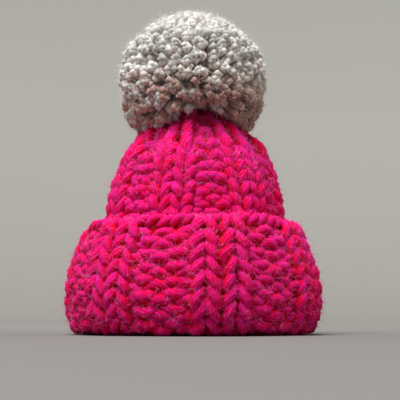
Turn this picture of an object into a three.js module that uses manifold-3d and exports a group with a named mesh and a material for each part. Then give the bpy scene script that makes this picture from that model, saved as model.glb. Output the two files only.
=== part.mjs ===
// A knitted egg cosy in the shape of a small bobble hat, in millimetres, +Z up, front towards -Y.
// One ribbed knitted tube is drawn together at the crown, hangs down, and is folded up outside at the
// bottom into a deep cuff. A yarn pompom sits on the crown. The cosy stands on the fold of its cuff.
import * as THREE from "three";
import { mergeVertices } from "three/addons/utils/BufferGeometryUtils.js";
import Module from "manifold-3d";

const wasm = await Module();
wasm.setup();

// The knitting: a two by two rib, with its wales running up the cosy.
const WALES = 28;
const RIB_REPEAT = 4;
const REPEAT_ANGLE = (2 * Math.PI * RIB_REPEAT) / WALES;
const KNIT_PAIR_AZIMUTH = THREE.MathUtils.degToRad(-14.7);
const COURSE_HEIGHT = 4.1;
const PURL_DEPTH = 2;
const WALE_GROOVE = 0.6;
const COURSE_GROOVE = 0.7;
const KNIT_SHARE_LOW = 0.5;
const KNIT_SHARE_CROWN = 0.7;

// Heights of the parts of the cosy above the surface that it stands on.
const CUFF_TOP = 36;
const CROWN_TOP = 75;
const FLAT_INNER_RADIUS = 34.2;
const FLAT_OUTER_RADIUS = 38;
const EVEN_ABOVE = 60;

// The cosy's section, from the axis under the crown round to the axis on top of it. Each table is one
// stretch of it, and each row is a point of the curve through it.
const LINING = [
  { radius: 0, height: 70 },
  { radius: 6, height: 68.6 },
  { radius: 12, height: 64.2 },
  { radius: 17.4, height: 58.8 },
  { radius: 20.6, height: 53 },
  { radius: 24.6, height: 43 },
  { radius: 26.2, height: 34 },
  { radius: 28.8, height: 24 },
  { radius: 31.3, height: 14 },
  { radius: 32.4, height: 5 },
];
const FOLD = [
  { radius: 32.4, height: 5 },
  { radius: 33, height: 1.4 },
  { radius: FLAT_INNER_RADIUS, height: 0 },
  { radius: FLAT_OUTER_RADIUS, height: 0 },
  { radius: 40.6, height: 2.2 },
  { radius: 41.9, height: 5 },
];
const CUFF_OUTSIDE = [
  { radius: 41.9, height: 5 },
  { radius: 42.7, height: 11 },
  { radius: 41.8, height: 18 },
  { radius: 39.2, height: 26.5 },
  { radius: 35.2, height: 33.6 },
];
const CUFF_EDGE = [
  { radius: 35.2, height: 33.6 },
  { radius: 33.8, height: CUFF_TOP - 0.3 },
  { radius: 32, height: CUFF_TOP },
  { radius: 30.9, height: 34.6 },
];
const CUFF_INSIDE = [
  { radius: 30.9, height: 34.6 },
  { radius: 34.4, height: 25 },
  { radius: 37.2, height: 14 },
  { radius: 37.9, height: 7.5 },
  { radius: 37, height: 5.4 },
  { radius: 36.1, height: 7.5 },
];
const BODY_UNDER_CUFF = [
  { radius: 36.1, height: 7.5 },
  { radius: 35.2, height: 14 },
  { radius: 32.6, height: 25 },
  { radius: 30, height: 35 },
];
const BODY_OUTSIDE = [
  { radius: 30, height: 35 },
  { radius: 29.6, height: 40 },
  { radius: 28, height: 46.3 },
  { radius: 25.4, height: 54 },
  { radius: 22.3, height: 59.7 },
  { radius: 17.8, height: 64.9 },
  { radius: 13.2, height: 69.2 },
  { radius: 9, height: 72.2 },
  { radius: 4.5, height: 74.3 },
  { radius: 0, height: CROWN_TOP },
];

// Steps in which the plain stretches are walked. The ribbed ones take two steps a course.
const LINING_STEPS = 9;
const CUFF_EDGE_STEPS = 3;
const CUFF_INSIDE_STEPS = 7;
const UNDER_CUFF_STEPS = 4;

// Where the ribs run out: near the middle of the crown, at the fold, and in part at the cuff's edge.
const CROWN_FADE = { from: 4, to: 12 };
const FOLD_FADE = { from: 0, to: 12 };
const EDGE_FADE = { from: 30, to: CUFF_TOP, share: 0.6 };

// The unevenness of a hand-knitted cosy, as waves round its axis: shares of the radius, and lifts.
const RADIUS_WAVES = [
  { waves: 2, size: 0.010, turn: -0.6 },
  { waves: 3, size: 0.007, turn: 1.17 },
];
const LIFT_WAVES = [
  { waves: 1, size: 0.7, turn: 0.5 },
  { waves: 4, size: 0.4, turn: 1.57 },
];

// The pompom: a trimmed ball of yarn locks on a core. Its top is a little pointed, and its sides hang
// down over the crown's shoulders, so how far it reaches depends on the angle above or below level.
const POMPOM_REACH = [
  { degreesUp: -90, reach: 25.5 },
  { degreesUp: -45, reach: 27 },
  { degreesUp: -29, reach: 26.3 },
  { degreesUp: -17, reach: 25.2 },
  { degreesUp: 0, reach: 24.5 },
  { degreesUp: 20, reach: 24.2 },
  { degreesUp: 31, reach: 22.8 },
  { degreesUp: 45, reach: 21.7 },
  { degreesUp: 60, reach: 21.3 },
  { degreesUp: 90, reach: 21.5 },
];
const POMPOM_SHIFT_LEFT = 1;
const CORE_RADIUS = 12;
const CORE_DETAIL = 2;
const CORE_SEAT_DEPTH = 1.2;
const SEAT_CLEARANCE = 0.35;
const LOCKS = 210;
const LOCK_ROOT_RADIUS = 1.3;
const LOCK_BELLY_RADIUS = 2.5;
const LOCK_BELLY_AT = 0.88;
const LOCK_SIDES = 3;
const LOCK_ROOT_SINK = 1.5;
const LOCK_TRIM = 1.3;
const LOCK_LEAN = 0.05;
const SEAT_STEPS = 24;

const COLUMNS = 2 * WALES;
const CLOSE = 1e-3;
const PINK = new THREE.MeshStandardMaterial({ color: 0xe0106a, roughness: 0.9, metalness: 0 });
const CREAM = new THREE.MeshStandardMaterial({ color: 0xcfc4ba, roughness: 0.95, metalness: 0 });

// The rows of a table as points, and points at even steps along the curve through them.
function corners(table) {
  return table.map(({ radius, height }) => new THREE.Vector2(radius, height));
}
function along(table, steps) {
  return new THREE.SplineCurve(corners(table)).getSpacedPoints(steps);
}

// A whole number of half courses along a stretch, so that its points fall on the courses' crests and
// grooves in turn.
function halfCourses(table) {
  const length = new THREE.SplineCurve(corners(table)).getLength();
  return 2 * Math.round(length / COURSE_HEIGHT);
}

// The section's points in order, each with the stretch that it belongs to and its count along it.
function sectionStations() {
  const stretches = [
    { name: "lining", points: along(LINING, LINING_STEPS) },
    { name: "fold", points: corners(FOLD) },
    { name: "cuff", points: along(CUFF_OUTSIDE, halfCourses(CUFF_OUTSIDE)) },
    { name: "edge", points: along(CUFF_EDGE, CUFF_EDGE_STEPS) },
    { name: "slot", points: along(CUFF_INSIDE, CUFF_INSIDE_STEPS) },
    { name: "slot", points: along(BODY_UNDER_CUFF, UNDER_CUFF_STEPS) },
    { name: "body", points: along(BODY_OUTSIDE, halfCourses(BODY_OUTSIDE)) },
  ];
  const stations = [];
  stretches.forEach(({ name, points }, s) =>
    points.forEach((point, count) => {
      if (s === 0 || count > 0) stations.push({ name, point, count });
    }),
  );
  return stations;
}

// How far a point of the knitting lies below the crests of its ribs. A wale shows as knit on one face
// of the cloth and as purl on the other, and the folded cuff shows the body's other face.
function reliefDepth(name, column, count) {
  const middle = column % 2 === 1;
  const wale = Math.floor(column / 2);
  const before = (wale + WALES - 1) % WALES;
  const isKnit = (w) => w % RIB_REPEAT < RIB_REPEAT / 2 === (name === "body");
  const sunk = (w) => (isKnit(w) ? 0 : PURL_DEPTH);
  const onCrest = count % 2 === 1;
  if (isKnit(wale) && (middle || isKnit(before)))
    return (middle ? 0 : WALE_GROOVE) + (onCrest ? 0 : COURSE_GROOVE);
  const level = middle ? sunk(wale) : (sunk(wale) + sunk(before)) / 2;
  return level + (middle === onCrest ? 0 : COURSE_GROOVE);
}

// How much of the relief a point has, from 0 to 1.
function fadeIn(value, { from, to }) {
  return THREE.MathUtils.smoothstep(value, from, to);
}
function reliefFade(name, { x: radius, y: height }) {
  if (name === "body") return fadeIn(radius, CROWN_FADE);
  return fadeIn(height, FOLD_FADE) * (1 - EDGE_FADE.share * fadeIn(height, EDGE_FADE));
}

// Which way round the axis a column lies. The body's knit ribs take a growing share of the cloth
// towards the crown, where the purl wales close up between them.
function columnAzimuth(column, height) {
  const level = THREE.MathUtils.clamp(height, CUFF_TOP, CROWN_TOP);
  const share = THREE.MathUtils.mapLinear(
    level, CUFF_TOP, CROWN_TOP, KNIT_SHARE_LOW, KNIT_SHARE_CROWN);
  const half = RIB_REPEAT / 2;
  const inRepeat = (column / 2) % RIB_REPEAT;
  const part = inRepeat < half
    ? (share * inRepeat) / half
    : share + ((1 - share) * (inRepeat - half)) / half;
  const repeat = Math.floor(column / 2 / RIB_REPEAT);
  return KNIT_PAIR_AZIMUTH + (repeat + part - share / 2) * REPEAT_ANGLE;
}

// The unevenness, as a gentle warp of space about the axis that dies out towards the crown.
function waveSum(table, azimuth) {
  return table.reduce((sum, { waves, size, turn }) => sum + size * Math.cos(waves * azimuth - turn), 0);
}
function unevenRadius(azimuth, height) {
  const fade = 1 - THREE.MathUtils.smoothstep(height, CUFF_TOP, EVEN_ABOVE);
  return 1 + fade * waveSum(RADIUS_WAVES, azimuth);
}
function unevenLift(azimuth, height) {
  const rise = THREE.MathUtils.smoothstep(height, 0, CUFF_TOP);
  const fade = 1 - THREE.MathUtils.smoothstep(height, CUFF_TOP, EVEN_ABOVE);
  return rise * fade * waveSum(LIFT_WAVES, azimuth);
}

// The cosy as one solid of revolution, with its ribs and stitches raised in its points.
function knittedCosy() {
  const stations = sectionStations();
  const section = stations.map(({ point }) => point);
  const geometry = new THREE.LatheGeometry(section, COLUMNS);
  const position = geometry.getAttribute("position");
  for (let column = 0; column <= COLUMNS; column++)
    stations.forEach(({ name, point, count }, k) => {
      let { x: radius, y: height } = point;
      if ((name === "body" || name === "cuff") && radius > 0 && k + 1 < stations.length) {
        const tangent = section[k + 1].clone().sub(section[k - 1]).normalize();
        const depth = reliefFade(name, point) * reliefDepth(name, column % COLUMNS, count);
        radius -= depth * tangent.y;
        height += depth * tangent.x;
      }
      const azimuth = columnAzimuth(column % COLUMNS, height);
      const reach = radius * unevenRadius(azimuth, height);
      position.setXYZ(
        column * stations.length + k,
        reach * Math.sin(azimuth), -reach * Math.cos(azimuth), height + unevenLift(azimuth, height));
    });
  return geometry;
}

// The level move that brings the middle of a geometry's width and depth to the origin.
function centringMove(geometry) {
  geometry.computeBoundingBox();
  const middle = geometry.boundingBox.getCenter(new THREE.Vector3());
  return new THREE.Vector3(-middle.x, -middle.y, 0);
}

// A closed geometry as a solid that can be joined and cut, and a solid as a geometry.
function solidOf(geometry) {
  const bare = geometry.clone();
  bare.deleteAttribute("normal");
  bare.deleteAttribute("uv");
  const merged = mergeVertices(bare, CLOSE);
  return new wasm.Manifold(new wasm.Mesh({
    numProp: 3,
    vertProperties: merged.getAttribute("position").array,
    triVerts: new Uint32Array(merged.index.array),
  }));
}
function geometryOf(solid) {
  const { vertProperties, triVerts, numProp } = solid.getMesh();
  const interleaved = new THREE.InterleavedBuffer(vertProperties, numProp);
  return new THREE.BufferGeometry()
    .setAttribute("position", new THREE.InterleavedBufferAttribute(interleaved, 3, 0))
    .setIndex(new THREE.BufferAttribute(triVerts, 1));
}

// A repeatable number from 0 to 1 for each whole number.
function scatter(n) {
  const s = Math.sin(n * 12.9898) * 43758.5453;
  return s - Math.floor(s);
}

// Even directions over a ball, on a golden-angle spiral, each leaning a little its own way.
function lockDirections() {
  const golden = Math.PI * (3 - Math.sqrt(5));
  return Array.from({ length: LOCKS }, (_, n) => {
    const up = 1 - (2 * n + 1) / LOCKS;
    const across = Math.sqrt(1 - up * up);
    const lean = new THREE.Vector3(scatter(n) - 0.5, scatter(n + 500) - 0.5, scatter(n + 900) - 0.5);
    return new THREE.Vector3(across * Math.cos(golden * n), across * Math.sin(golden * n), up)
      .addScaledVector(lean, LOCK_LEAN)
      .normalize();
  });
}

// One lock of pompom yarn along +Y: narrow at its root, fullest near its tip, cut to a point.
function lockGeometry(length) {
  return new THREE.LatheGeometry([
    new THREE.Vector2(0, 0),
    new THREE.Vector2(LOCK_ROOT_RADIUS, 0),
    new THREE.Vector2(LOCK_BELLY_RADIUS, length * LOCK_BELLY_AT),
    new THREE.Vector2(0, length),
  ], LOCK_SIDES);
}

// How far the pompom reaches from its middle in a direction.
function pompomReach(direction) {
  const degreesUp = THREE.MathUtils.radToDeg(Math.asin(direction.z));
  const next = POMPOM_REACH.findIndex((row) => row.degreesUp > degreesUp);
  const [low, high] = [POMPOM_REACH[next - 1], POMPOM_REACH[next]];
  return THREE.MathUtils.mapLinear(
    degreesUp, low.degreesUp, high.degreesUp, low.reach, high.reach);
}

// The pompom's seat: the outside of the body's crown, grown by the clearance.
function crownSeat(move) {
  const outline = along(BODY_OUTSIDE, SEAT_STEPS).map(({ x, y }) =>
    new THREE.Vector2(x > 0 ? x + SEAT_CLEARANCE : 0, y + SEAT_CLEARANCE));
  const foot = outline[0];
  const geometry = new THREE.LatheGeometry([new THREE.Vector2(0, foot.y), ...outline], COLUMNS);
  return solidOf(geometry.rotateX(Math.PI / 2).translate(...move));
}

// The pompom: a core with locks standing out all round it, cut to sit on the crown. A lock's piece
// that the crown cuts off falls away.
function pompom(crownMove) {
  const middle = new THREE.Vector3(
    -POMPOM_SHIFT_LEFT, 0, CROWN_TOP - CORE_SEAT_DEPTH + CORE_RADIUS);
  const core = new THREE.IcosahedronGeometry(CORE_RADIUS, CORE_DETAIL).translate(...middle);
  const up = new THREE.Vector3(0, 1, 0);
  const locks = lockDirections().map((direction, n) => {
    const rootAt = CORE_RADIUS - LOCK_ROOT_SINK;
    const length = pompomReach(direction) - rootAt - LOCK_TRIM * scatter(n + 1300);
    const turn = new THREE.Quaternion().setFromUnitVectors(up, direction);
    const geometry = lockGeometry(length)
      .rotateY(Math.PI * scatter(n + 1700))
      .applyQuaternion(turn)
      .translate(...direction.clone().multiplyScalar(rootAt).add(middle));
    return solidOf(geometry);
  });
  const ball = wasm.Manifold.union([solidOf(core), ...locks]).subtract(crownSeat(crownMove));
  const [whole] = ball.decompose().sort((a, b) => b.volume() - a.volume());
  return geometryOf(whole);
}

function piece(name, geometry, material) {
  const mesh = new THREE.Mesh(geometry, material);
  mesh.name = name;
  return mesh;
}

const knitting = knittedCosy();
const move = centringMove(knitting);
knitting.translate(...move);

const cosy = new THREE.Group();
cosy.add(piece("knitted_cosy", knitting, PINK), piece("pompom", pompom(move), CREAM));

export default cosy;
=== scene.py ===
# %% [markdown]
# # A knitted egg cosy with a pompom
# The real thing is one tube of chunky ribbed knitting. It is drawn together at the crown, and its lower
# end is folded up on the outside into a deep cuff. A pompom of cut yarn sits on top.
#
# At a step's distance a knitted thing is its yarn: loops drawn through loops, with dark gaps between
# them. A bump pattern on a smooth shell looks printed, so here every course of yarn is a real rope
# that follows the path which a needle gives it. Its sizes are those of the solids in the frame.

# %% The frame
import math

import bpy
import numpy as np
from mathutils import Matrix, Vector


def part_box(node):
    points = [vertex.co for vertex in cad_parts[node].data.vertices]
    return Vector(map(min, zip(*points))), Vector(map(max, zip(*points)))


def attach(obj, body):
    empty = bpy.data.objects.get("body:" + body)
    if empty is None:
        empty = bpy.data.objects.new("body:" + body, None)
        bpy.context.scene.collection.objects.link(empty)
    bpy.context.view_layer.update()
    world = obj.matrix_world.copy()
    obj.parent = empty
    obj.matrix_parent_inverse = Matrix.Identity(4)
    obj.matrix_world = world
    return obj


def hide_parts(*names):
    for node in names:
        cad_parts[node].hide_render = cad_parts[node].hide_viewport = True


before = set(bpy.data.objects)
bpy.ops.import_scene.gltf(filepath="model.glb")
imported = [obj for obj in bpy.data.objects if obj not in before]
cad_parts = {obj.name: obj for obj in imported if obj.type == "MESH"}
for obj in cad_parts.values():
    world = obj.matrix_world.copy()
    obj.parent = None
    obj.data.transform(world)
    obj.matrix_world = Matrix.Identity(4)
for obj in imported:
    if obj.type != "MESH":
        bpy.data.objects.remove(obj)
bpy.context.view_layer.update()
MM = 0.001
COSY, POMPOM = "knitted_cosy", "pompom"
CROWN_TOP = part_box(COSY)[1][2] / MM
print("crown's height in mm:", round(CROWN_TOP, 1))

# %% [markdown]
# ## The camera
# The picture was taken almost level with the hem, from about a third of a metre: the upper edge of the
# cuff arches upwards in it, and nothing shows of the cosy's underside. The lens follows from how wide
# a strip of the world the picture takes in at the object.

# %% A camera level with the hem
CAMERA_PLACE = Vector((1.6, -330, 5)) * MM
CAMERA_AIM = Vector((1.6, 0, 44)) * MM
PICTURE_WIDTH = 132 * MM
SENSOR_WIDTH_MM = 36
SEEN_FROM = 10 * MM

bpy.ops.object.select_all(action="DESELECT")
look = CAMERA_AIM - CAMERA_PLACE
bpy.ops.object.camera_add(location=CAMERA_PLACE, rotation=look.to_track_quat("-Z", "Y").to_euler())
camera = bpy.context.object
camera.data.sensor_width = SENSOR_WIDTH_MM
camera.data.lens = SENSOR_WIDTH_MM * look.length / PICTURE_WIDTH
camera.data.clip_start = SEEN_FROM
bpy.context.scene.camera = camera
print("lens in mm:", round(camera.data.lens, 1))

# %% [markdown]
# ## Small tools
# A few helpers are used all the way through. Two start a material: an empty one, and one whose colour
# drifts between two shades, as no dyed fibre is one even colour. One makes a mesh from lists of points
# and faces, and one gives a finished piece its material, puts it on the frame's only body and hides the
# solid that it stands for.

# %% Starting a material
FIBRE_GLOSS = 0.04
DRIFT_FROM, DRIFT_TO = 0.35, 0.65


def new_material(name, roughness):
    """A fresh material, its tree and its shader."""
    material = bpy.data.materials.new(name)
    material.use_nodes = True
    tree = material.node_tree
    shader = tree.nodes["Principled BSDF"]
    shader.inputs["Roughness"].default_value = roughness
    shader.inputs["Specular IOR Level"].default_value = FIBRE_GLOSS
    return material, tree, shader


def drifting_material(name, roughness, dark, light, scale, bump_distance=0):
    """A material that drifts between two colours, by noise in the object's own space."""
    material, tree, shader = new_material(name, roughness)
    place = tree.nodes.new("ShaderNodeTexCoord")
    noise = tree.nodes.new("ShaderNodeTexNoise")
    noise.inputs["Scale"].default_value = scale
    shades = tree.nodes.new("ShaderNodeValToRGB")
    low, high = shades.color_ramp.elements
    low.position, low.color = DRIFT_FROM, dark
    high.position, high.color = DRIFT_TO, light
    tree.links.new(place.outputs["Object"], noise.inputs["Vector"])
    tree.links.new(noise.outputs["Fac"], shades.inputs["Fac"])
    tree.links.new(shades.outputs["Color"], shader.inputs["Base Color"])
    if bump_distance:
        bump = tree.nodes.new("ShaderNodeBump")
        bump.inputs["Distance"].default_value = bump_distance
        tree.links.new(noise.outputs["Fac"], bump.inputs["Height"])
        tree.links.new(bump.outputs["Normal"], shader.inputs["Normal"])
    return material


print("specular level of fibre:", FIBRE_GLOSS)

# %% Making and finishing a piece
BODY = "root"


def mesh_piece(name, points, faces, corner_uv=None, painted_light=None):
    """An object from points in mm, faces, a UV for each face corner and painted light for each point.
    """
    mesh = bpy.data.meshes.new(name)
    mesh.from_pydata((points * MM).tolist(), [], faces)
    if corner_uv is not None:
        layer = mesh.uv_layers.new(name="yarn_uv")
        layer.data.foreach_set("uv", corner_uv.astype(np.float32).ravel())
    if painted_light is not None:
        shade = mesh.attributes.new("painted_light", "FLOAT", "POINT")
        shade.data.foreach_set("value", painted_light.astype(np.float32))
    mesh.polygons.foreach_set("use_smooth", np.ones(len(mesh.polygons), bool))
    mesh.update()
    piece = bpy.data.objects.new(name, mesh)
    bpy.context.scene.collection.objects.link(piece)
    return piece


def finish_piece(piece, material, node):
    """Gives a piece its material, seats it on the body and hides the solid that it stands for."""
    piece.data.materials.clear()
    piece.data.materials.append(material)
    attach(piece, BODY)
    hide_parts(node)
    triangles = sum(len(face.vertices) - 2 for face in piece.data.polygons)
    print(f"{piece.name}: {triangles} triangles")
    return piece


# %% [markdown]
# ## The yarn's finish
# The yarn is a soft acrylic: matt, with a light halo that catches the light at its edges. Its colour is
# a strong pink. Light goes about a millimetre into it before it comes out again, which softens every
# shade. Pink fibre lets red light travel farthest, so the shaded gaps between loops turn red.
#
# A strand shows its plies as pale ridges with deeper grooves between them, and fibres as fine streaks
# that run with the plies. The yarn's own UV, in mm along it and once round it, turns with the twist.
# So a cosine round the yarn gives the grooves, and noise that is stretched along it gives the streaks.
# Both drive the colour and the bump: the grooves are painted darker, which is painted shade. Slow
# patches over the whole piece shift the colour a little.
#
# One more value, kept on the mesh's points, is painted light and shade. It is low where a point lies in
# the shade between two loops or inside the pompom, and high where it lies open to the light. Light that
# comes back from such shade is redder, so the ramp from the deep, shaded colour to the open, lit one
# follows it too.

# %% Streaks, grooves and openness
PLIES = 8
FIBRES_AROUND = 26
FIBRES_ALONG = 0.5
STREAK_DETAIL, STREAK_ROUGHNESS = 4, 0.65
GROOVE_SHARE = 0.18
GROOVE_WANDER = 9
PATCH_SHARE = 0.25
PATCH_SCALE = 140
# Where the ramp puts its deep, shaded colour, its middle one and its open, lit one: painted shade and
# light.
DEEP_AND_SHADED_AT, MIDDLE_AT, OPEN_AND_LIT_AT = 0.39, 0.5, 0.63


def mix_values(tree, share, first, second):
    """A mix of two values of a node tree."""
    mixed = tree.nodes.new("ShaderNodeMix")
    mixed.inputs["Factor"].default_value = share
    tree.links.new(first, mixed.inputs["A"])
    tree.links.new(second, mixed.inputs["B"])
    return mixed.outputs["Result"]


def add_yarn_look(tree, shader, colours, bump_distance, painted_light_share):
    """Colour and bump of a plied, fibrous yarn, from its UV, with light and shade painted into its
    colour.
    """
    deep_and_shaded, middle, open_and_lit = colours
    nodes, links = tree.nodes, tree.links
    uv = nodes.new("ShaderNodeUVMap")
    uv.uv_map = "yarn_uv"
    stretch = nodes.new("ShaderNodeMapping")
    stretch.inputs["Scale"].default_value = (FIBRES_ALONG, FIBRES_AROUND, 1)
    streaks = nodes.new("ShaderNodeTexNoise")
    streaks.inputs["Scale"].default_value = 1
    streaks.inputs["Detail"].default_value = STREAK_DETAIL
    streaks.inputs["Roughness"].default_value = STREAK_ROUGHNESS
    links.new(uv.outputs["UV"], stretch.inputs["Vector"])
    links.new(stretch.outputs["Vector"], streaks.inputs["Vector"])

    split = nodes.new("ShaderNodeSeparateXYZ")
    drift = nodes.new("ShaderNodeMath")
    drift.operation = "MULTIPLY"
    drift.inputs[1].default_value = GROOVE_WANDER
    angle = nodes.new("ShaderNodeMath")
    angle.operation = "MULTIPLY_ADD"
    angle.inputs[1].default_value = 2 * math.pi * PLIES
    ridge = nodes.new("ShaderNodeMath")
    ridge.operation = "COSINE"
    half_ridge = nodes.new("ShaderNodeMapRange")
    half_ridge.inputs["From Min"].default_value = -1
    links.new(uv.outputs["UV"], split.inputs["Vector"])
    links.new(split.outputs["Y"], angle.inputs[0])
    links.new(streaks.outputs["Fac"], drift.inputs[0])
    links.new(drift.outputs["Value"], angle.inputs[2])
    links.new(angle.outputs["Value"], ridge.inputs[0])
    links.new(ridge.outputs["Value"], half_ridge.inputs["Value"])
    relief = mix_values(tree, GROOVE_SHARE, streaks.outputs["Fac"], half_ridge.outputs["Result"])

    place = nodes.new("ShaderNodeTexCoord")
    patches = nodes.new("ShaderNodeTexNoise")
    patches.inputs["Scale"].default_value = PATCH_SCALE
    links.new(place.outputs["Object"], patches.inputs["Vector"])
    # The relief, grooves and all, also sets the colour: the grooves get painted shade.
    value = mix_values(tree, PATCH_SHARE, relief, patches.outputs["Fac"])
    # The painted light and shade kept on the points pulls the colour towards the lit or the shaded end.
    painted_light = nodes.new("ShaderNodeAttribute")
    painted_light.attribute_name = "painted_light"
    value = mix_values(tree, painted_light_share, value, painted_light.outputs["Fac"])

    ramp = nodes.new("ShaderNodeValToRGB")
    low, high = ramp.color_ramp.elements
    low.position, low.color = DEEP_AND_SHADED_AT, deep_and_shaded
    high.position, high.color = OPEN_AND_LIT_AT, open_and_lit
    ramp.color_ramp.elements.new(MIDDLE_AT).color = middle
    links.new(value, ramp.inputs["Fac"])
    links.new(ramp.outputs["Color"], shader.inputs["Base Color"])
    bump = nodes.new("ShaderNodeBump")
    bump.inputs["Strength"].default_value = 1
    bump.inputs["Distance"].default_value = bump_distance
    links.new(relief, bump.inputs["Height"])
    links.new(bump.outputs["Normal"], shader.inputs["Normal"])


print("plies in the yarn:", PLIES)

# %% Pink yarn
# The deep end is the yarn's deepest tone and the crimson of painted shade, the pale end its palest tone
# and the magenta of painted light.
PINK_DEEP_AND_SHADED = (0.7, 0.001, 0.001, 1)
PINK = (0.73, 0.001, 0.06, 1)
PINK_PALE_AND_LIT = (0.75, 0.015, 0.27, 1)
PINK_PAINTED_LIGHT_SHARE = 0.15
YARN_BUMP = 0.5 * MM

pink_yarn, pink_tree, pink_shader = new_material("pink_yarn", roughness=0.9)
pink_shader.inputs["Sheen Weight"].default_value = 0.2
pink_shader.inputs["Sheen Roughness"].default_value = 0.4
pink_shader.inputs["Sheen Tint"].default_value = (1, 0.12, 0.45, 1)
pink_shader.inputs["Subsurface Weight"].default_value = 0.9
pink_shader.inputs["Subsurface Radius"].default_value = (1.0, 0.15, 0.3)
pink_shader.inputs["Subsurface Scale"].default_value = 0.8 * MM
add_yarn_look(pink_tree, pink_shader, (PINK_DEEP_AND_SHADED, PINK, PINK_PALE_AND_LIT), YARN_BUMP, PINK_PAINTED_LIGHT_SHARE)
print("pink yarn's bump in mm:", YARN_BUMP / MM)

# %% [markdown]
# ## The cloth's own shape
# Before any yarn, the script needs to know where the cloth lies. The cloth is one long strip seen in
# section: from the cast-on edge at the top of the cuff it runs down outside, round the fold that
# the cosy stands on, up inside, and in to the crown. The table gives the middle of its thickness.

# %% The cloth's section
CLOTH_LINE = np.array([
    # radius, height
    (32.4, 34.4),
    (36.0, 27.0),
    (38.6, 18.6),
    (39.6, 11.0),
    (38.9, 6.8),
    (37.6, 3.3),
    (35.9, 1.9),
    (34.0, 3.2),
    (32.8, 8.0),
    (31.9, 15.0),
    (29.6, 25.0),
    (27.3, 35.0),
    (26.6, 40.0),
    (25.0, 47.0),
    (22.6, 54.0),
    (19.6, 59.0),
    (15.4, 63.6),
    (11.0, 67.4),
    (7.0, 70.0),
    (3.0, 71.6),
])
LINE_STEPS = 1200
FINER = 8


def smooth_line(rows, steps):
    """Points at even steps along a smooth curve through the rows, by the Catmull-Rom rule."""
    padded = np.vstack([2 * rows[0] - rows[1], rows, 2 * rows[-1] - rows[-2]])
    t = np.linspace(0, len(rows) - 1 - 1e-9, FINER * steps)
    k, f = t.astype(int), (t % 1)[:, None]
    p0, p1, p2, p3 = (padded[k + n] for n in range(4))
    fine = 0.5 * (2 * p1 + (p2 - p0) * f + (2 * p0 - 5 * p1 + 4 * p2 - p3) * f**2
                  + (3 * p1 - p0 - 3 * p2 + p3) * f**3)
    run = np.concatenate([[0], np.cumsum(np.linalg.norm(np.diff(fine, axis=0), axis=1))])
    even = np.linspace(0, run[-1], steps)
    return even, np.stack([np.interp(even, run, fine[:, n]) for n in range(2)], axis=1)


line_run, line_points = smooth_line(CLOTH_LINE, LINE_STEPS)
line_ahead = np.gradient(line_points, line_run, axis=0)
CLOTH_LENGTH = line_run[-1]
print("cloth from cast-on edge to crown, mm:", round(CLOTH_LENGTH, 1))

# %% [markdown]
# A point of the cloth is named the way a knitter counts: its wale round the cosy, its run from the
# cast-on edge in mm, and how far it lies out of the cloth's middle. The cloth has one right side: it
# faces out on the body and in on the turned-up cuff. Slow waves round the axis make the whole a little
# uneven, as hand-knitting is, and fade out towards the crown.

# %% A point of the cloth
WALES = 28
RIB_REPEAT = 4
KNIT_PAIR_AZIMUTH = math.radians(-14.7)
KNIT_SHARE_LOW, KNIT_SHARE_CROWN = 0.5, 0.7
CUFF_TOP = 36
EVEN_ABOVE = 60
RADIUS_WAVES = ((2, 0.010, -0.6), (3, 0.007, 1.17))
LIFT_WAVES = ((1, 0.7, 0.5), (4, 0.4, 1.57))


def smooth_step(value, start, end):
    """0 up to start, 1 from end, and a soft rise between."""
    t = np.clip((value - start) / (end - start), 0, 1)
    return t * t * (3 - 2 * t)


def unevenness(height, azimuth):
    """The share by which the cloth is wider here, and the mm by which it is lifted."""
    fade = 1 - smooth_step(height, CUFF_TOP, EVEN_ABOVE)
    wider = sum(size * np.cos(count * azimuth - turn) for count, size, turn in RADIUS_WAVES)
    lift = sum(size * np.cos(count * azimuth - turn) for count, size, turn in LIFT_WAVES)
    return 1 + fade * wider, fade * smooth_step(height, 0, CUFF_TOP) * lift


def wale_azimuth(wale, height):
    """The direction of a wale. The knit pairs take a growing share of the cloth towards the crown."""
    rise = np.clip((height - CUFF_TOP) / (CROWN_TOP - CUFF_TOP), 0, 1)
    share = KNIT_SHARE_LOW + (KNIT_SHARE_CROWN - KNIT_SHARE_LOW) * rise
    half = RIB_REPEAT / 2
    repeat, within = np.divmod(wale, RIB_REPEAT)
    part = np.where(within < half, share * within / half,
                    share + (1 - share) * (within - half) / half)
    return KNIT_PAIR_AZIMUTH + (repeat + part - share / 2) * 2 * math.pi * RIB_REPEAT / WALES


def cloth_place(wale, run, out):
    """Points and right-side directions of the cloth, in mm."""
    radius, height = (np.interp(run, line_run, line_points[:, n]) for n in range(2))
    ahead_r, ahead_z = (np.interp(run, line_run, line_ahead[:, n]) for n in range(2))
    length = np.hypot(ahead_r, ahead_z)
    normal_r, normal_z = ahead_z / length, -ahead_r / length
    radius, height = radius + out * normal_r, height + out * normal_z
    azimuth = wale_azimuth(wale, height)
    wider, lift = unevenness(height, azimuth)
    across, along = np.sin(azimuth), -np.cos(azimuth)
    points = np.stack([radius * wider * across, radius * wider * along, height + lift], axis=-1)
    normals = np.stack([normal_r * across, normal_r * along, normal_z], axis=-1)
    return points, normals


print("rib repeats round the cosy:", WALES // RIB_REPEAT)

# %% [markdown]
# ## The path of a course
# In plain knitting each stitch is a loop of the course below it pulled open by the course above. Seen
# flat, the yarn swings forwards and back along the course while it goes up and down nearly twice as far
# as one course is high, and it dips through the cloth twice a stitch so that it can pass in front of
# one neighbour and behind the other. Three waves say exactly that. In a purl wale the yarn dips the
# other way. A two by two rib changes over every two wales, and its knit wales stand proud, so that
# the same cloth shows ribs on one side where it shows valleys on the other.
#
# A hand never makes two stitches alike. Soft random waves along the course shift, raise and widen
# the loops a little. At the crown the knitter takes two stitches together, which halves their number,
# and the gathered top draws them long, so that their legs stand side by side, almost upright.

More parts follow.
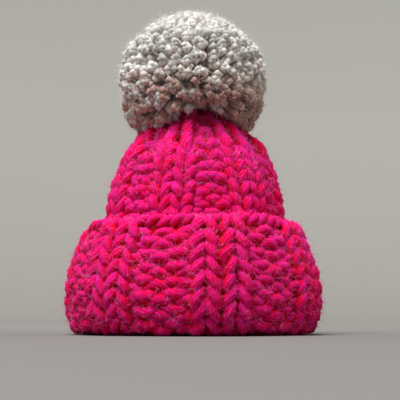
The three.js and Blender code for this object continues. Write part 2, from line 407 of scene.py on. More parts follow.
# %% Courses from the cast-on edge to the crown
COURSE_HEIGHT = 4.15
CROWN_STRETCH = 1.9
CROWN_STRETCH_FROM, CROWN_STRETCH_TO = 0.74, 0.88
FIRST_COURSE, LAST_GAP = 3.9, 3
rng = np.random.default_rng(7)


def course_runs():
    """The run of each course's middle, from the cast-on edge to the crown."""
    runs, run = [], FIRST_COURSE
    while run < CLOTH_LENGTH - LAST_GAP:
        runs.append(run)
        near_crown = smooth_step(run / CLOTH_LENGTH, CROWN_STRETCH_FROM, CROWN_STRETCH_TO)
        run += COURSE_HEIGHT * (1 + (CROWN_STRETCH - 1) * near_crown)
    return np.array(runs)


courses = course_runs()
print("courses:", len(courses))

# %% One course's path
LOOP_HEIGHT = 1.75
LOOP_SWING, CROWN_SWING = 0.22, 0.15
HALVED_FROM = 0.8
LOOP_DEPTH = 1.25
RIB_RISE = 0.75
RIB_CHANGE = 0.42
HEM_EVEN_BELOW = 9
STITCH_STEPS = 18
WALE_WANDER, RUN_WANDER, OUT_WANDER = 0.05, 0.3, 0.26


def rib_side(wale):
    """1 in the middle of a knit pair, -1 in the middle of a purl pair, with a quick change between."""
    from_knit = np.abs((wale - 1 + RIB_REPEAT / 2) % RIB_REPEAT - RIB_REPEAT / 2)
    return np.sin(np.clip((1 - from_knit) / RIB_CHANGE, -1, 1) * math.pi / 2)


def wander(count, size):
    """A soft random wave round a course with so many values in it, joined up at the end."""
    values = rng.normal(0, size, count)
    t = np.arange(WALES * STITCH_STEPS) * count / (WALES * STITCH_STEPS)
    k, f = t.astype(int), smooth_step(t % 1, 0, 1)
    return values[k] * (1 - f) + values[(k + 1) % count] * f


def course_path(run, height_to_next):
    """The middle line of one course's yarn, and the cloth's direction at each point of it."""
    stitch = np.arange(WALES * STITCH_STEPS) / STITCH_STEPS
    taken_together = 2 if run > HALVED_FROM * CLOTH_LENGTH else 1
    turn = 2 * math.pi * stitch / taken_together
    side = rib_side(stitch)
    swing = CROWN_SWING if taken_together == 2 else LOOP_SWING
    wale = stitch + swing * np.sin(2 * turn) + wander(2 * WALES, WALE_WANDER)
    run = run - LOOP_HEIGHT / 2 * height_to_next * np.cos(turn) + wander(2 * WALES, RUN_WANDER)
    dip = LOOP_DEPTH * np.cos(2 * turn)
    height = np.interp(run, line_run, line_points[:, 1])
    rise = RIB_RISE * smooth_step(height, 0, HEM_EVEN_BELOW)
    out = side * (rise - dip) + wander(2 * WALES, OUT_WANDER)
    return cloth_place(wale % WALES, np.clip(run, 0, CLOTH_LENGTH), out)


print("steps in one course's path:", WALES * STITCH_STEPS)

# %% [markdown]
# ## Yarn along a path
# Chunky yarn is several plies twisted together, so its section is a rosette, and the rosette turns as
# it goes along. The section's points turn with the twist, which keeps every edge of the mesh on the
# ridge of a ply or in a groove. The painted light is high on the faces that look in or out of the
# cloth, and low, as painted shade, where a strand lies against its neighbours. Where wales crowd
# together at the crown the yarn is squeezed narrower, but two stitches that are taken together are
# thicker than one.

# %% Sweeping a plied yarn
PLY_BULGE = 0.07
TWIST_PITCH = 18
YARN_RADIUS = 1.65
YARN_FLATNESS = 0.88
YARN_ROUGHNESS = 0.055


def sweep_ring(points, normals, radius, sides=2 * PLIES):
    """A plied yarn round a closed path: its points in mm, faces, corner UVs and painted light."""
    ahead = np.roll(points, -1, axis=0) - np.roll(points, 1, axis=0)
    ahead /= np.linalg.norm(ahead, axis=1)[:, None]
    across = np.cross(normals, ahead)
    across /= np.linalg.norm(across, axis=1)[:, None]
    lift = np.cross(ahead, across)
    steps = np.linalg.norm(np.roll(points, -1, axis=0) - points, axis=1)
    travelled = np.concatenate([[0], np.cumsum(steps)])
    turns = max(1, round(travelled[-1] / TWIST_PITCH))
    twist = 2 * math.pi * turns * travelled[:-1] / travelled[-1]
    corner = 2 * math.pi * np.arange(sides) / sides
    bulge = 1 + PLY_BULGE * np.cos(PLIES * corner)
    angle = twist[:, None] + corner[None, :]
    matted = 1 + rng.normal(0, YARN_ROUGHNESS, (len(points), sides))
    reach = (radius[:, None] * bulge[None, :] * matted)[:, :, None]
    rings = (points[:, None, :]
             + reach * np.cos(angle)[:, :, None] * across[:, None, :]
             + reach * YARN_FLATNESS * np.sin(angle)[:, :, None] * lift[:, None, :])
    # Painted light where the strand faces in or out of the cloth, painted shade where it lies against
    # its neighbours.
    painted_light = smooth_step(np.abs(np.sin(angle)), 0, 1)
    i, j = np.meshgrid(np.arange(len(points)), np.arange(sides), indexing="ij")
    i_next, j_next = (i + 1) % len(points), (j + 1) % sides
    here, there = i * sides, i_next * sides
    faces = np.stack([here + j, here + j_next, there + j_next, there + j], axis=-1)
    u0, u1 = travelled[i], travelled[i + 1]
    v0, v1 = j / sides, (j + 1) / sides
    uv = np.stack([np.stack([u0, v0], -1), np.stack([u0, v1], -1),
                   np.stack([u1, v1], -1), np.stack([u1, v0], -1)], axis=2)
    return rings.reshape(-1, 3), faces.reshape(-1, 4), uv.reshape(-1, 2), painted_light.ravel()


def join_parts(parts):
    """Joins several (points, faces, uv, painted light) into one."""
    points, faces, uv, painted_light = zip(*parts)
    starts = np.cumsum([0] + [len(part) for part in points[:-1]])
    shifted = [part + start for part, start in zip(faces, starts)]
    return np.vstack(points), np.vstack(shifted).tolist(), np.vstack(uv), np.concatenate(painted_light)


print("yarn's thickness in mm:", 2 * YARN_RADIUS)

# %% The courses, as three pieces
CUFF_COURSES = 10
HIDDEN_COURSES = 8
SQUEEZE_RADII, SQUEEZE_SHARES = (6, 22), (0.62, 1)
HALVED_THICKER = 1.3
THICKNESS_WANDER = 0.07
FLOOR_CONTACT = 0.3
FLOOR_GIVE = 0.2


def knit_courses(name, first, last, sides=2 * PLIES):
    """A piece of knitting from one course to another, a little flattened where it stands."""
    parts = []
    for n in range(first, last):
        gap = courses[min(n + 1, len(courses) - 1)] - courses[min(n, len(courses) - 2)]
        points, normals = course_path(courses[n], gap)
        squeeze = np.interp(np.hypot(points[:, 0], points[:, 1]), SQUEEZE_RADII, SQUEEZE_SHARES)
        if courses[n] > HALVED_FROM * CLOTH_LENGTH:
            squeeze *= HALVED_THICKER
        radius = YARN_RADIUS * squeeze * (1 + wander(2 * WALES, THICKNESS_WANDER))
        parts.append(sweep_ring(points, normals, radius, sides))
    points, faces, uv, painted_light = join_parts(parts)
    pressed = points[:, 2] < FLOOR_CONTACT
    points[pressed, 2] = FLOOR_CONTACT + FLOOR_GIVE * (points[pressed, 2] - FLOOR_CONTACT)
    return mesh_piece(name, points, faces, uv, painted_light)


cuff_yarn = knit_courses("cuff_yarn", 0, CUFF_COURSES)
inner_yarn = knit_courses("inner_yarn", CUFF_COURSES, CUFF_COURSES + HIDDEN_COURSES, PLIES)
body_yarn = knit_courses("body_yarn", CUFF_COURSES + HIDDEN_COURSES, len(courses))
for piece in (cuff_yarn, inner_yarn, body_yarn):
    finish_piece(piece, pink_yarn, COSY)

# %% [markdown]
# ## The cast-on edge
# The cuff ends in the first row of all, which the knitter wound on to the needle. It shows as a firm
# cord of two strands that wrap round each other once a stitch, lying along the top of the cuff.

# %% Two strands round each other
EDGE_RUN = 1.1
EDGE_SPREAD = 1.0
EDGE_RADIUS = 1.25


def edge_strand(phase):
    """One of the two strands of the cast-on edge."""
    stitch = np.arange(WALES * STITCH_STEPS) / STITCH_STEPS
    turn = 2 * math.pi * stitch + phase
    run = EDGE_RUN + EDGE_SPREAD * np.sin(turn) + wander(2 * WALES, RUN_WANDER)
    out = EDGE_SPREAD * np.cos(turn) - RIB_RISE / 2 * rib_side(stitch) + wander(2 * WALES, OUT_WANDER)
    points, normals = cloth_place(stitch + wander(WALES, WALE_WANDER), run, out)
    return sweep_ring(points, normals, np.full(len(points), EDGE_RADIUS))


cast_on_yarn = mesh_piece("cast_on_yarn", *join_parts([edge_strand(0), edge_strand(math.pi)]))
finish_piece(cast_on_yarn, pink_yarn, COSY)

# %% [markdown]
# ## The heart of the cloth
# Between the loops one doesn't see through the real cloth: loose fibres mat together in its middle,
# and the gaps look a very dark red. A thin sheet in the middle of the cloth's thickness stands for
# them. Its colour is a deeper, darker red than the yarn's, which paints in the shade of the gaps. Its
# section is drawn point by point with extrusions, spun round the axis, made as uneven as the yarn, and
# given a thickness.

# %% A section, spun
HEART_THICKNESS = 0.5
HEART_TURNS = 112
HEART_FROM, HEART_TO, HEART_ROWS = 2.2, 2.0, 34

bpy.ops.object.select_all(action="DESELECT")
bpy.ops.mesh.primitive_plane_add(size=MM)
heart = bpy.context.object
heart.name = "cloth_heart"
heart_runs = np.linspace(HEART_FROM, CLOTH_LENGTH - HEART_TO, HEART_ROWS)
heart_rows = [Vector((np.interp(run, line_run, line_points[:, 0]), 0,
                      np.interp(run, line_run, line_points[:, 1]))) * MM for run in heart_runs]
bpy.ops.object.mode_set(mode="EDIT")
bpy.ops.mesh.select_all(action="SELECT")
bpy.ops.mesh.merge(type="CENTER")
bpy.ops.transform.translate(value=heart_rows[0])
for here, there in zip(heart_rows, heart_rows[1:]):
    bpy.ops.mesh.extrude_region_move(TRANSFORM_OT_translate={"value": there - here})
bpy.ops.mesh.select_all(action="SELECT")
bpy.ops.mesh.spin(steps=HEART_TURNS, angle=2 * math.pi, center=(0, 0, 0), axis=(0, 0, 1))
bpy.ops.mesh.select_all(action="SELECT")
bpy.ops.mesh.remove_doubles(threshold=0.01 * MM)
bpy.ops.mesh.normals_make_consistent(inside=False)
bpy.ops.object.mode_set(mode="OBJECT")
print("faces of the spun section:", len(heart.data.polygons))

# %% As uneven as the yarn, and thickened
# A deeper, darker red than the yarn: painted shade in the gaps between the loops.
MATTED_PAINTED_SHADE_DARK, MATTED_PAINTED_SHADE_RED = (0.40, 0.001, 0.003, 1), (0.68, 0.002, 0.008, 1)

for vertex in heart.data.vertices:
    x, y, z = vertex.co / MM
    wider, lift = unevenness(z, math.atan2(x, -y))
    vertex.co = Vector((x * wider, y * wider, z + lift)) * MM
thicken = heart.modifiers.new("thickness", "SOLIDIFY")
thicken.thickness = HEART_THICKNESS * MM
thicken.offset = 0
bpy.ops.object.modifier_apply(modifier=thicken.name)
bpy.ops.object.shade_smooth()
matted = drifting_material("matted_fibres_in_painted_shade", roughness=1, dark=MATTED_PAINTED_SHADE_DARK, light=MATTED_PAINTED_SHADE_RED,
                           scale=900, bump_distance=0.4 * MM)
finish_piece(heart, matted, COSY)

# %% [markdown]
# ## The pompom
# A pompom is hundreds of yarn ends, all tied round the middle, that stand out in every direction
# and are trimmed to a ball. What shows is their cut tips: small tufts that have opened up where
# the twist lets go. One end is modelled four ways by extruding its three plies in steps along a
# spiral that opens at the tip. Copies of the four are then spread over the ball on a golden-angle
# spiral, which leaves no rows and no gaps.

# %% One cut end, four ways
END_PLIES = 3
END_LENGTH = 11
END_STEPS = (0, 0.4, 0.75, 0.93, 1)
END_SPREADS = (0.45, 0.47, 0.52, 0.62, 0.66)
PLY_WIDTHS = (0.75, 0.95, 1.2, 1.28, 0.95)
PLY_SIDES = 4
PLY_SHORTEST, PLY_LONGEST = 0.86, 1.03
END_VARIANTS = 4
END_TURN, TURN_STEP = 1.6, 0.4
END_SEED = 40


def ply_through(centres):
    """One ply as a tube through the centres, extruded step by step and resized at each."""
    bpy.ops.object.select_all(action="DESELECT")
    bpy.ops.mesh.primitive_circle_add(
        vertices=PLY_SIDES, radius=PLY_WIDTHS[0], fill_type="NGON", location=centres[0])
    bpy.ops.object.transform_apply(location=True)
    bpy.ops.object.mode_set(mode="EDIT")
    bpy.ops.mesh.select_all(action="SELECT")
    for step in range(1, len(centres)):
        wider = PLY_WIDTHS[step] / PLY_WIDTHS[step - 1]
        move = centres[step] - centres[step - 1]
        bpy.ops.mesh.extrude_region_move(TRANSFORM_OT_translate={"value": move})
        bpy.ops.transform.resize(value=(wider, wider, 1), center_override=centres[step])
    bpy.ops.mesh.select_all(action="SELECT")
    bpy.ops.mesh.normals_make_consistent(inside=False)
    bpy.ops.object.mode_set(mode="OBJECT")
    return bpy.context.object


def yarn_end(variant):
    """A cut end of three-ply yarn along +Z from the origin, in mm, as an object."""
    chance = np.random.default_rng(END_SEED + variant)
    turn_rate = END_TURN + TURN_STEP * variant
    plies = []
    for ply in range(END_PLIES):
        start = 2 * math.pi * ply / END_PLIES + variant
        reach = chance.uniform(PLY_SHORTEST, PLY_LONGEST)
        centres = [Vector((spread * math.cos(start + turn_rate * f),
                           spread * math.sin(start + turn_rate * f), END_LENGTH * f * reach))
                   for f, spread in zip(END_STEPS, END_SPREADS)]
        plies.append(ply_through(centres))
    bpy.ops.object.select_all(action="DESELECT")
    for ply in plies:
        ply.select_set(True)
    bpy.context.view_layer.objects.active = plies[0]
    bpy.ops.object.join()
    return bpy.context.object


def read_shape(shape):
    """Turns a modelled shape into numbers: its points, its faces and a UV for each face corner."""
    points = np.array([vertex.co for vertex in shape.data.vertices])
    faces = [tuple(face.vertices) for face in shape.data.polygons]
    around = np.arctan2(points[:, 1], points[:, 0]) / (2 * math.pi)
    uv = []
    for face in faces:
        first = around[face[0]]
        uv += [(points[k, 2], around[k] - round(around[k] - first)) for k in face]
    bpy.data.objects.remove(shape)
    return points, faces, np.array(uv)


end_shapes = [read_shape(yarn_end(variant)) for variant in range(END_VARIANTS)]
print("faces in one cut end:", len(end_shapes[0][1]))

# %% [markdown]
# The ball isn't quite round. It has a slightly pointed top, is widest a little below its middle, and
# its sides hang down over the crown's shoulders. A table of how far the tips reach at each angle
# above or below level says so. Each end is also cut short where it would run into the crown, or hang
# under the trimmed underside, which arches up in front and lets the crown show. Only two ends, which
# the scissors missed, hang down over it.

# %% How far a cut end reaches
BALL_MIDDLE = np.array([-1.0, 0.0, CROWN_TOP + 10.8])
BALL_REACH = np.array([
    # degrees above level, reach in mm
    (-90, 25.5),
    (-45, 27.0),
    (-29, 26.3),
    (-17, 25.2),
    (0, 24.5),
    (20, 24.2),
    (31, 22.8),
    (45, 21.7),
    (60, 21.3),
    (90, 21.5),
])
CROWN_OUTSIDE = np.array([
    # radius, height
    (0, 75.0),
    (4.5, 74.3),
    (9.0, 72.2),
    (13.2, 69.2),
    (17.8, 64.9),
    (22.3, 59.7),
])
END_ROOT = 10
CROWN_GAP = 0.8
ARCH_AZIMUTH = math.radians(8)
ARCH_FROM, ARCH_TO = math.radians(10), math.radians(48)
UNDERSIDE_FRONT, UNDERSIDE_SIDES = CROWN_TOP - 2.4, CROWN_TOP - 9.5
REACH_CHECKS = 24
LUMP_HEIGHT = 0.5
LUMPS_ROUND, LUMPS_SLANT, LUMPS_UP, LUMPS_START = 5, 3, 4, 1


def ball_reach(directions):
    """How far the trimmed tips reach from the ball's middle, with slow lumps over the ball."""
    above = np.degrees(np.arcsin(directions[:, 2]))
    azimuth = np.arctan2(directions[:, 0], -directions[:, 1])
    up = directions[:, 2]
    lumps = LUMP_HEIGHT * np.sin(LUMPS_ROUND * azimuth + LUMPS_SLANT * up)
    lumps *= np.cos(LUMPS_UP * up + LUMPS_START)
    return np.interp(above, BALL_REACH[:, 0], BALL_REACH[:, 1]) + lumps


def above_crown(points):
    """How far points lie above the crown's outside."""
    radius = np.hypot(points[..., 0], points[..., 1])
    return points[..., 2] - np.interp(radius, CROWN_OUTSIDE[:, 0], CROWN_OUTSIDE[:, 1])


def underside(points):
    """The height under which no cut end hangs."""
    from_arch = np.abs(np.arctan2(points[..., 0], -points[..., 1]) - ARCH_AZIMUTH)
    at_sides = smooth_step(from_arch, ARCH_FROM, ARCH_TO)
    return UNDERSIDE_FRONT + (UNDERSIDE_SIDES - UNDERSIDE_FRONT) * at_sides


def clear_reach(directions, reaches, jitter):
    """How far each end can go before it meets the crown or the trimmed underside."""
    stations = END_ROOT + np.linspace(0, 1, REACH_CHECKS) * (reaches - END_ROOT)[:, None]
    points = BALL_MIDDLE + directions[:, None, :] * stations[:, :, None]
    in_air = (above_crown(points) > CROWN_GAP) & (points[..., 2] > underside(points) + jitter[:, None])
    last = np.where(in_air.all(axis=1), REACH_CHECKS, np.argmin(in_air, axis=1)) - 1
    return np.take_along_axis(stations, np.maximum(last, 0)[:, None], axis=1)[:, 0]


print("pompom's widest reach in mm:", BALL_REACH[:, 1].max())

# %% Ends over the whole ball
ENDS = 1080
END_TRIM, UNDERSIDE_TRIM = 0.9, 2
END_LEAN = 0.04
END_BEND = 0.65
BEND_FROM, BEND_FULL = 1, 4
END_SHORTEST = 3
HANGING_TIPS = np.array([(-2.0, -18.5, 70.2), (8.2, -17.5, 70.2)])


def even_directions(count):
    """Directions spread evenly over a ball on a golden-angle spiral, each leaning a little."""
    n = np.arange(count)
    up = 1 - (2 * n + 1) / count
    across = np.sqrt(1 - up**2)
    turn = n * math.pi * (3 - math.sqrt(5))
    directions = np.stack([across * np.cos(turn), across * np.sin(turn), up], axis=1)
    directions += rng.normal(0, END_LEAN, (count, 3))
    return directions / np.linalg.norm(directions, axis=1)[:, None]


directions = even_directions(ENDS)
reaches = clear_reach(directions, ball_reach(directions) - rng.uniform(0, END_TRIM, ENDS),
                      rng.uniform(0, UNDERSIDE_TRIM, ENDS))
long_enough = reaches - END_ROOT > END_SHORTEST
directions, reaches = directions[long_enough], reaches[long_enough]
bends = rng.normal(0, END_BEND, directions.shape)
bends -= np.sum(bends * directions, axis=1)[:, None] * directions
tip_height = above_crown(BALL_MIDDLE + directions * reaches[:, None])
bends *= smooth_step(tip_height, BEND_FROM, BEND_FULL)[:, None]

hanging = HANGING_TIPS - BALL_MIDDLE
hanging_reach = np.linalg.norm(hanging, axis=1)
directions = np.vstack([directions, hanging / hanging_reach[:, None]])
reaches = np.concatenate([reaches, hanging_reach])
bends = np.vstack([bends, np.zeros_like(hanging)])
print("cut ends:", len(reaches))

# %% [markdown]
# The copies are stretched to their own reach and bent a little. Each carries painted light that rises
# from its root to its tip. On an end that is short or points downwards it is lower all along, as
# painted shade, because such an end lies in the shade of the others. About one end in six, picked at
# random, still gets a painted lit tip, as some tips stick out into the light.

# %% Placing the ends
TIP_FROM = 0.5
ROOT_PAINTED_LIGHT = 0.45
STREAK_SHIFT = 40
NEARLY_UPRIGHT = 0.9


def place_copies(shapes, roots, directions, lengths, bends, end_painted_light):
    """Copies of modelled shapes, each stood on its root along its direction, stretched and bent."""
    helper = np.where(np.abs(directions[:, 2:]) < NEARLY_UPRIGHT, [[0, 0, 1]], [[1, 0, 0]])
    side = np.cross(helper, directions)
    side /= np.linalg.norm(side, axis=1)[:, None]
    other = np.cross(directions, side)
    points, faces, uv, painted_light, start = [], [], [], [], 0
    for n in range(len(roots)):
        shape_points, shape_faces, shape_uv = shapes[n % len(shapes)]
        along = shape_points[:, 2:] / END_LENGTH
        points.append(roots[n] + shape_points[:, :1] * side[n] + shape_points[:, 1:2] * other[n]
                      + along * lengths[n] * directions[n] + along**2 * bends[n])
        faces += [tuple(k + start for k in face) for face in shape_faces]
        uv.append(shape_uv + rng.uniform(0, STREAK_SHIFT, 2))
        # Painted light, from root to tip, scaled by the end's own share.
        near_tip = smooth_step(along[:, 0], TIP_FROM, 1)
        painted_light.append((ROOT_PAINTED_LIGHT + (1 - ROOT_PAINTED_LIGHT) * near_tip) * end_painted_light[n])
        start += len(shape_points)
    return np.vstack(points), faces, np.vstack(uv), np.concatenate(painted_light)


print("share of the tint at a root:", ROOT_PAINTED_LIGHT)

# %% [markdown]
# The ends are the same kind of yarn, almost undyed, and the same nodes give it streaks. Cream fibre
# holds back less light than pink fibre does, so light goes deeper into it. Near the roots the colour is
# a red brown of painted shade and painted reflection: the shade of the other ends, and the light that
# the pink cloth throws back. The middle colour is set very light, partly to paint in light that the
# fibres scatter into the gaps, and the very tips are painted a darker grey, which holds back their
# highlights.

# %% Cream yarn
# Red-brown painted shade and painted reflection at the roots, a very light middle, and tips painted
# darker against their highlights.
CREAM_PAINTED_SHADE = (0.40, 0.235, 0.205, 1)
CREAM = (0.95, 0.84, 0.79, 1)
CREAM_TIP_PAINTED_DARKER = (0.50, 0.48, 0.46, 1)
CREAM_PAINTED_LIGHT_SHARE = 0.45
TUFT_BUMP = 0.15 * MM

cream_yarn, cream_tree, cream_shader = new_material("cream_yarn", roughness=0.9)
cream_shader.inputs["Sheen Weight"].default_value = 0.2
cream_shader.inputs["Sheen Roughness"].default_value = 0.5
cream_shader.inputs["Subsurface Weight"].default_value = 0.5
cream_shader.inputs["Subsurface Radius"].default_value = (1.0, 0.75, 0.6)
cream_shader.inputs["Subsurface Scale"].default_value = 1.5 * MM
add_yarn_look(cream_tree, cream_shader, (CREAM_PAINTED_SHADE, CREAM, CREAM_TIP_PAINTED_DARKER), TUFT_BUMP, CREAM_PAINTED_LIGHT_SHARE)
print("cream yarn's bump in mm:", TUFT_BUMP / MM)

# %% The pompom's ends
SHORT_END, FULL_END = 0.65, 0.95
SHADED_BELOW, LIT_ABOVE = -0.75, 0.3
DULLEST_TIP = 0.6
PAINTED_LIT_TIP, PAINTED_LIT_TIP_SHARE = 0.9, 0.16

# Each end's painted light: less on short ends and on those that point downwards, which is painted
# shade, and a little less at random.
reach_and_slope_light = smooth_step(reaches / ball_reach(directions), SHORT_END, FULL_END)
reach_and_slope_light *= smooth_step(directions[:, 2], SHADED_BELOW, LIT_ABOVE)
# About one end in six, at random, gets a painted lit tip even in the shade.
painted_lit_tips = PAINTED_LIT_TIP * (rng.uniform(0, 1, len(reaches)) < PAINTED_LIT_TIP_SHARE)
tip_painted_light = np.maximum(reach_and_slope_light * rng.uniform(DULLEST_TIP, 1, len(reaches)), painted_lit_tips)
# The two hanging ends lie in the light and get full painted light.
tip_painted_light[-len(HANGING_TIPS):] = 1
pompom_ends = mesh_piece("pompom_ends", *place_copies(
    end_shapes, BALL_MIDDLE + directions * END_ROOT, directions, reaches - END_ROOT, bends, tip_painted_light))
finish_piece(pompom_ends, cream_yarn, POMPOM)

# %% [markdown]
# Deeper in, the ends lie so close together that they look like one soft mass. A rough ball stands for
# it, pressed up where it would run into the crown. Its colour is a darker, redder brown than the cream
# yarn: painted shade inside the pompom.

# %% The mass of yarn inside the pompom
CORE_RADIUS = 17
CORE_ROUGHNESS = 1.3
# Browns darker and redder than the cream yarn: painted shade inside the pompom.
MASS_PAINTED_SHADE_DEEPER, MASS_PAINTED_SHADE_PALER = (0.5, 0.35, 0.3, 1), (0.76, 0.64, 0.56, 1)

bpy.ops.object.select_all(action="DESELECT")
bpy.ops.mesh.primitive_ico_sphere_add(
    subdivisions=4, radius=CORE_RADIUS * MM, location=Vector(BALL_MIDDLE) * MM)
core = bpy.context.object
core.name = "pompom_core"
bpy.ops.object.transform_apply(location=True)
bpy.ops.object.mode_set(mode="EDIT")
bpy.ops.mesh.select_all(action="SELECT")
bpy.ops.transform.vertex_random(offset=CORE_ROUGHNESS * MM, seed=3)
bpy.ops.object.mode_set(mode="OBJECT")
for vertex in core.data.vertices:
    radius = math.hypot(vertex.co.x, vertex.co.y) / MM
    crown = np.interp(radius, CROWN_OUTSIDE[:, 0], CROWN_OUTSIDE[:, 1])
    vertex.co.z = max(vertex.co.z, (crown + CROWN_GAP) * MM)
bpy.ops.object.shade_smooth()
bound_yarn_in_painted_shade = drifting_material("bound_yarn_in_painted_shade", roughness=1, dark=MASS_PAINTED_SHADE_DEEPER, light=MASS_PAINTED_SHADE_PALER,
                               scale=600, bump_distance=0.5 * MM)
finish_piece(core, bound_yarn_in_painted_shade, POMPOM)

# %% [markdown]
# ## The halo
# Wool and acrylic are never clean-edged: single fibres stand off the yarn, catch the light and blur the
# outline. Each is a very thin three-sided needle, closed at both ends. The long ones have a bend, and
# the short ones, which make up the fuzz close to the yarn, are straight. They grow from points of the
# yarn's own surface, and each leans its own way.

# %% Needles in one mesh
FIBRE_SIDES = 3
FIBRE_TAPER = 0.2
LOWEST_FIBRE = 0.15


def needle_mesh(name, stations, ahead, radius, chance):
    """Closed three-sided needles through the stations, pointed at the last one."""
    side = np.cross(ahead, chance.normal(0, 1, ahead.shape))
    side /= np.linalg.norm(side, axis=1)[:, None]
    other = np.cross(ahead, side)
    corner = 2 * math.pi * np.arange(FIBRE_SIDES) / FIBRE_SIDES
    ring = radius * (np.cos(corner)[None, :, None] * side[:, None, :]
                     + np.sin(corner)[None, :, None] * other[:, None, :])
    rings = [station[:, None, :] + (1 - FIBRE_TAPER * n) * ring
             for n, station in enumerate(stations[:-1])]
    points = np.concatenate([*rings, stations[-1][:, None, :]], axis=1)
    points[..., 2] = np.maximum(points[..., 2], LOWEST_FIBRE)
    first = (np.arange(len(ahead)) * points.shape[1])[:, None]
    pairs = [(j, (j + 1) % FIBRE_SIDES) for j in range(FIBRE_SIDES)]
    top = FIBRE_SIDES * (len(rings) - 1)
    blocks = [first + [[low + j, low + k, low + FIBRE_SIDES + k, low + FIBRE_SIDES + j]]
              for low in range(0, top, FIBRE_SIDES) for j, k in pairs]
    blocks += [first + [[top + j, top + k, top + FIBRE_SIDES]] for j, k in pairs]
    blocks.append(first + [[2, 1, 0]])
    faces = [face for block in blocks for face in block.tolist()]
    return mesh_piece(name, points.reshape(-1, 3), faces)


print("lowest point of any fibre in mm:", LOWEST_FIBRE)

# %% Growing loose fibres
FIBRE_ROOT = 0.3
FIBRE_CURL = 0.3
FIBRE_LEAN = 0.65
BROKEN_SHORT = 0.4
CURLS_FROM = 2
KNEE_AT = 0.5
FACES_OUT = 0.15
CLEAR_OF_FLOOR = 1.5
TUFTS_FROM = 19


def grow_fibres(name, source, count, lengths, radius, stand, faces_out, seed):
    """Fibres on the surface of a piece. Those over CURLS_FROM long on average have a bend in them."""
    chance = np.random.default_rng(seed)
    spots = np.zeros(len(source.data.vertices) * 3)
    ways = np.zeros(len(source.data.vertices) * 3)
    source.data.vertices.foreach_get("co", spots)
    source.data.vertices.foreach_get("normal", ways)
    spots, ways = spots.reshape(-1, 3) / MM, ways.reshape(-1, 3)
    chosen = chance.choice(np.flatnonzero(faces_out(spots, ways)), count)
    spots, ways = spots[chosen], ways[chosen]
    lean = chance.normal(0, 1, (count, 3))
    ahead = stand * ways + FIBRE_LEAN * lean / np.linalg.norm(lean, axis=1)[:, None]
    inwards = np.minimum(np.sum(ahead * ways, axis=1), 0)
    ahead -= 2 * inwards[:, None] * ways
    ahead /= np.linalg.norm(ahead, axis=1)[:, None]
    long = chance.uniform(*lengths, (count, 1)) * chance.uniform(BROKEN_SHORT, 1, (count, 1))
    root = spots - FIBRE_ROOT * ahead
    if sum(lengths) / 2 < CURLS_FROM:
        return needle_mesh(name, [root, spots + long * ahead], ahead, radius, chance)
    curl = chance.normal(0, FIBRE_CURL, (count, 3)) * long
    tip = spots + long * ahead + curl
    knee = spots + KNEE_AT * long * ahead + KNEE_AT**2 * curl
    return needle_mesh(name, [root, knee, tip], ahead, radius, chance)


def outside_of_cosy(spots, ways):
    """The yarn that faces away from the axis, clear of the floor."""
    outwards = ways[:, 0] * spots[:, 0] + ways[:, 1] * spots[:, 1]
    outwards /= np.hypot(spots[:, 0], spots[:, 1])
    return (outwards > FACES_OUT) & (spots[:, 2] > CLEAR_OF_FLOOR)


def outside_of_ball(spots, ways):
    """The outer parts of the tufts."""
    return np.linalg.norm(spots - BALL_MIDDLE, axis=1) > TUFTS_FROM


print("fibres longer than this on average are bent, mm:", CURLS_FROM)

# %% Pink and cream fibres
FIBRE_DRIFT = 300
PINK_HAIR_DARK, PINK_HAIR_LIGHT = (0.84, 0.006, 0.14, 1), (0.98, 0.26, 0.62, 1)
CREAM_HAIR_DARK, CREAM_HAIR_LIGHT = (0.84, 0.74, 0.69, 1), (0.94, 0.90, 0.86, 1)
PINK_FIBRES = [
    # name, source, how many, shortest and longest, radius, how upright, where, seed
    ("cuff_fibres", cuff_yarn, 10000, (1.5, 5), 0.035, 0.5, outside_of_cosy, 11),
    ("body_fibres", body_yarn, 6000, (1.5, 4.5), 0.035, 0.5, outside_of_cosy, 12),
    ("cuff_fuzz", cuff_yarn, 24000, (1, 2.9), 0.045, 0.6, outside_of_cosy, 14),
    ("body_fuzz", body_yarn, 18000, (1, 2.7), 0.045, 0.6, outside_of_cosy, 15),
]
CREAM_FIBRES = [
    # name, source, how many, shortest and longest, radius, how upright, where, seed
    ("pompom_fibres", pompom_ends, 5000, (1.5, 4), 0.045, 0.5, outside_of_ball, 13),
    ("pompom_fuzz", pompom_ends, 24000, (1, 2.9), 0.055, 0.7, outside_of_ball, 16),
]
pink_fibre = drifting_material("pink_fibre", roughness=0.5, dark=PINK_HAIR_DARK,
                               light=PINK_HAIR_LIGHT, scale=FIBRE_DRIFT)
cream_fibre = drifting_material("cream_fibre", roughness=0.6, dark=CREAM_HAIR_DARK,
                                light=CREAM_HAIR_LIGHT, scale=FIBRE_DRIFT)
pink_halo = [finish_piece(grow_fibres(*row), pink_fibre, COSY) for row in PINK_FIBRES]
for row in CREAM_FIBRES:
    finish_piece(grow_fibres(*row), cream_fibre, POMPOM)

# %% [markdown]
# The heart is the cloth that all the pink yarn belongs to. Off the needles, 28 wales of 7.5 mm make a
# tube 210 mm round, and the courses make it as long as its section.

# %% [markdown]
# ## The floor and the light
# The picture has a plain, pale grey surround. A wide bowl with a flat bottom gives that from every
# side. It is drawn as a disc whose rim is extruded outwards and upwards along a quarter circle. The
# light over the object falls off with distance, so the bowl's paper gets paler outwards from its
# brightest place: floor and wall then look like one even grey, with no edge between them.

# %% The surround
BOWL_FLAT = 0.9
BOWL_BEND = 0.7
BOWL_STEPS = 24
BOWL_SIDES = 96

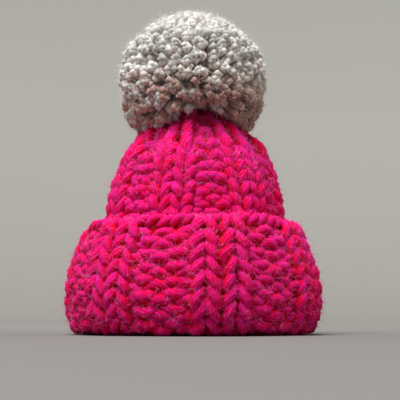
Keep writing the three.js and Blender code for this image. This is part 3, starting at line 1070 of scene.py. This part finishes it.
bpy.ops.object.select_all(action="DESELECT")
bpy.ops.mesh.primitive_circle_add(vertices=BOWL_SIDES, radius=BOWL_FLAT, fill_type="NGON")
surround = bpy.context.object
surround.name = "surround"
bpy.ops.object.mode_set(mode="EDIT")
bpy.ops.mesh.select_mode(type="EDGE")
bpy.ops.mesh.select_all(action="SELECT")
bpy.ops.mesh.region_to_loop()
angles = np.linspace(0, math.pi / 2, BOWL_STEPS + 1)
radii = BOWL_FLAT + BOWL_BEND * np.sin(angles)
heights = BOWL_BEND * (1 - np.cos(angles))
for step in range(BOWL_STEPS):
    rise = heights[step + 1] - heights[step]
    grow = radii[step + 1] / radii[step]
    bpy.ops.mesh.extrude_edges_move(TRANSFORM_OT_translate={"value": (0, 0, rise)})
    bpy.ops.transform.resize(value=(grow, grow, 1))
bpy.ops.mesh.select_mode(type="VERT")
bpy.ops.mesh.select_all(action="SELECT")
bpy.ops.mesh.normals_make_consistent(inside=True)
bpy.ops.object.mode_set(mode="OBJECT")
bpy.ops.object.shade_smooth()
print("surround's faces:", len(surround.data.polygons))

# %% Its paper
NEAR_GREY = (0.203, 0.189, 0.186, 1)
WALL_GREY = (0.715, 0.745, 0.755, 1)
BRIGHTEST = (-0.1, -0.25, 0)
GREY_FROM, GREY_TO = 0.25, 1.8

paper, paper_tree, paper_shader = new_material("surround_paper", roughness=0.95)
paper_place = paper_tree.nodes.new("ShaderNodeTexCoord")
paper_distance = paper_tree.nodes.new("ShaderNodeVectorMath")
paper_distance.operation = "DISTANCE"
paper_distance.inputs[1].default_value = BRIGHTEST
paper_outwards = paper_tree.nodes.new("ShaderNodeMapRange")
paper_outwards.inputs["From Min"].default_value = GREY_FROM
paper_outwards.inputs["From Max"].default_value = GREY_TO
paper_greys = paper_tree.nodes.new("ShaderNodeValToRGB")
paper_greys.color_ramp.elements[0].color = NEAR_GREY
paper_greys.color_ramp.elements[1].color = WALL_GREY
paper_tree.links.new(paper_place.outputs["Object"], paper_distance.inputs[0])
paper_tree.links.new(paper_distance.outputs["Value"], paper_outwards.inputs["Value"])
paper_tree.links.new(paper_outwards.outputs["Result"], paper_greys.inputs["Fac"])
paper_tree.links.new(paper_greys.outputs["Color"], paper_shader.inputs["Base Color"])
surround.data.materials.append(paper)
print("paper is brightest near:", BRIGHTEST)

# %% [markdown]
# The light is large and soft. Daylight comes from high up in front and a little from the left, so the
# pompom's top and the crown are bright and the underside of each form falls off into shade. The
# room's own light is weaker and warmer, and it is what the shaded parts show.

# %% Daylight and the room
LIGHT_PLACE = Vector((-0.17, -0.36, 0.86))
LIGHT_AIM = Vector((0, 0, 0.05))
LIGHT_SIDE = 0.6
LIGHT_WATTS = 14.3
DAYLIGHT = (0.90, 0.97, 1)
ROOM_LIGHT, ROOM_STRENGTH = (1, 0.83, 0.64, 1), 0.45

bpy.ops.object.select_all(action="DESELECT")
facing = (LIGHT_AIM - LIGHT_PLACE).to_track_quat("-Z", "Y").to_euler()
bpy.ops.object.light_add(type="AREA", location=LIGHT_PLACE, rotation=facing)
daylight = bpy.context.object
daylight.name = "daylight"
daylight.data.shape = "SQUARE"
daylight.data.size = LIGHT_SIDE
daylight.data.energy = LIGHT_WATTS
daylight.data.color = DAYLIGHT
world = bpy.data.worlds.new("room")
bpy.context.scene.world = world
world.use_nodes = True
background = world.node_tree.nodes["Background"]
background.inputs["Color"].default_value = ROOM_LIGHT
background.inputs["Strength"].default_value = ROOM_STRENGTH
bpy.context.scene.view_settings.view_transform = "Standard"
print("light from, in m:", tuple(LIGHT_PLACE))
